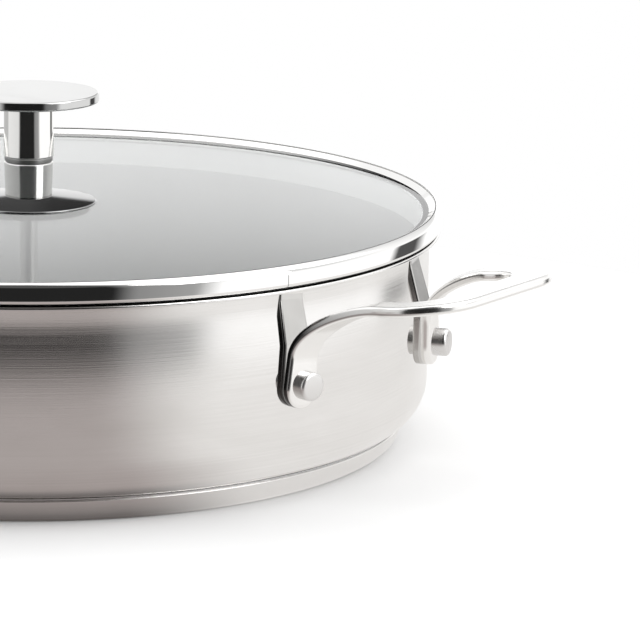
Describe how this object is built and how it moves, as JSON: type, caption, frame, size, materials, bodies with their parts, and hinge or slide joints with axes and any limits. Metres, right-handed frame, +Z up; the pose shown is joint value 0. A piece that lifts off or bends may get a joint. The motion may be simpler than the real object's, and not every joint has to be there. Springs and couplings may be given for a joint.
{
  "type": "saute pan with lid",
  "caption": "Stainless saute pan on a capsule base, with loop handles riveted over brackets and a flat glass lid in a steel rim with a disc knob",
  "frame": {"origin": "Centre of the base's underside, on the surface that the pan stands on.", "axes": "+Z up along the pan's axis; +X out through the middle of one loop handle, -X through the other; +Y between the two handles."},
  "size_m": [0.387, 0.284, 0.1186],
  "materials": {
    "brushed_steel": "satin",
    "polished_steel": "polished",
    "satin_steel": "satin",
    "aluminium": "satin",
    "lid_glass": "polished",
    "silicone": "matte"
  },
  "bodies": {
    "pan": {"pan_body": "brushed_steel", "base_core": "aluminium", "base_cap": "brushed_steel", "handle_right": "polished_steel", "handle_left": "polished_steel", "bracket_right_rear": "polished_steel", "bracket_right_front": "polished_steel", "bracket_left_front": "polished_steel", "bracket_left_rear": "polished_steel", "spacer_right_rear": "brushed_steel", "spacer_right_front": "brushed_steel", "spacer_left_front": "brushed_steel", "spacer_left_rear": "brushed_steel", "rivet_right_rear": "satin_steel", "rivet_right_front": "satin_steel", "rivet_left_front": "satin_steel", "rivet_left_rear": "satin_steel"},
    "lid": {"lid_rim": "polished_steel", "lid_glass": "lid_glass", "knob_washer": "silicone", "knob_flange": "polished_steel", "knob_lower_stem": "polished_steel", "knob_ring": "polished_steel", "knob_upper_stem": "polished_steel", "knob_disc": "polished_steel", "screw_seal": "silicone", "screw_washer": "satin_steel", "knob_screw": "satin_steel"}
  },
  "joints": [
    {"name": "lid_lift", "type": "slide", "parent": "pan", "child": "lid", "axis": [0, 0, 1], "range_m": [0, 0.15]}
  ]
}
